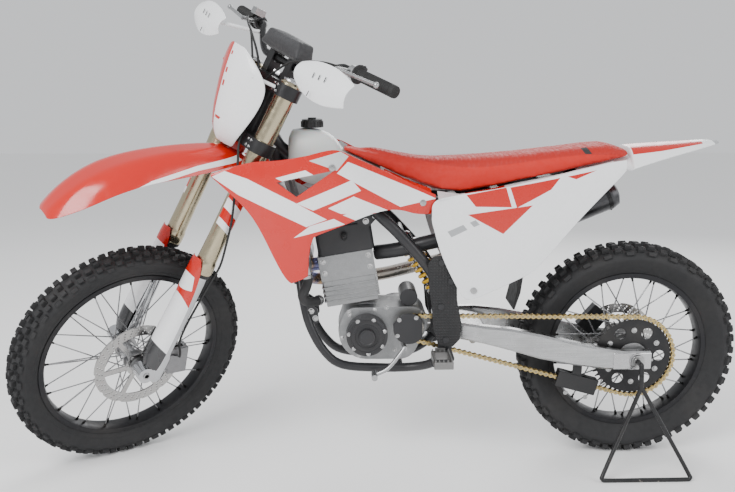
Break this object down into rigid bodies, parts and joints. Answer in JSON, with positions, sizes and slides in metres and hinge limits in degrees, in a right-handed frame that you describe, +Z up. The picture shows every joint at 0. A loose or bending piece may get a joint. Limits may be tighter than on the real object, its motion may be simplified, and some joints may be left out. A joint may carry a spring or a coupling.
{
  "type": "dirt bike",
  "caption": "Off-road motorcycle with wire wheels, long fork and moulded bodywork, leaning on a triangular prop stand in its hollow rear axle, with steering and wheels that turn.",
  "frame": {"origin": "on the floor, at the middle of the box that the parked bike covers", "axes": "+Z up, -X towards the front wheel, -Y towards the rider's left, where the stand is"},
  "size_m": [2.1193, 0.7272, 1.3732],
  "materials": {
    "alloy": "cast, satin",
    "alloy_bright": "machined, satin",
    "black_alloy": "black anodised",
    "black_frame": "satin black powder coat",
    "black_plastic": "matt",
    "chain_gold": "gold plated",
    "chrome": "polished",
    "fabric_pad": "woven cover",
    "gold_alloy": "anodised champagne",
    "red_plastic": "gloss",
    "rubber": "matt",
    "seat_cover": "ribbed gripper cover",
    "spring": "gloss",
    "stainless": "heat-tinted",
    "steel": "satin",
    "tank_plastic": "translucent, matt",
    "tyre": "matt",
    "white_plastic": "gloss"
  },
  "bodies": {
    "chassis": {"main_frame": "black_frame", "subframe": "black_alloy", "crankcase": "alloy", "cylinder_block": "alloy", "head_cover": "black_alloy", "engine_covers": "black_alloy", "radiators": "alloy_bright", "coolant_hoses": "rubber", "exhaust_pipe": "stainless", "silencer": "black_alloy", "intake": "black_plastic", "fuel_tank": "tank_plastic", "fuel_cap": "black_plastic", "seat": "seat_cover", "radiator_shrouds": "red_plastic", "side_panels": "white_plastic", "rear_fender": "white_plastic", "mud_flap": "black_plastic", "swingarm": "alloy_bright", "shock_absorber": "spring", "chain": "chain_gold", "drive_sprocket": "steel", "chain_guide": "black_plastic", "rear_axle": "steel", "rear_caliper": "black_alloy", "footpegs": "steel", "foot_levers": "alloy_bright", "frame_guards": "rubber", "wheel_stand": "black_frame"},
    "steering": {"triple_clamps": "black_alloy", "fork_tubes": "gold_alloy", "fork_sliders": "chrome", "fork_guards": "white_plastic", "front_axle": "steel", "front_fender": "red_plastic", "number_plate": "white_plastic", "handlebar": "black_alloy", "bar_pad": "fabric_pad", "grips": "rubber", "handguards": "white_plastic", "hand_levers": "alloy_bright", "front_caliper": "alloy", "brake_hose": "rubber"},
    "front_wheel": {"front_tyre": "tyre", "front_rim": "black_alloy", "front_spokes": "steel", "front_hub": "alloy_bright", "front_disc": "steel"},
    "rear_wheel": {"rear_tyre": "tyre", "rear_rim": "black_alloy", "rear_spokes": "steel", "rear_hub": "alloy", "rear_disc": "steel", "rear_sprocket": "black_alloy"}
  },
  "joints": [
    {"name": "steering_turn", "type": "hinge", "parent": "chassis", "child": "steering", "pos_m": [-0.43393, 0.02997, 0.88486], "axis": [0.4498, -0.0622, 0.891], "range_deg": [-76, 0]},
    {"name": "front_wheel_spin", "type": "hinge", "parent": "steering", "child": "front_wheel", "pos_m": [-0.75831, 0.03572, 0.33278], "axis": [-0.5501, 0.7666, 0.3312], "continuous": true},
    {"name": "rear_wheel_spin", "type": "hinge", "parent": "chassis", "child": "rear_wheel", "pos_m": [0.7317, 0.06924, 0.32869], "axis": [-0.0003, 0.9976, 0.0698], "continuous": true}
  ]
}
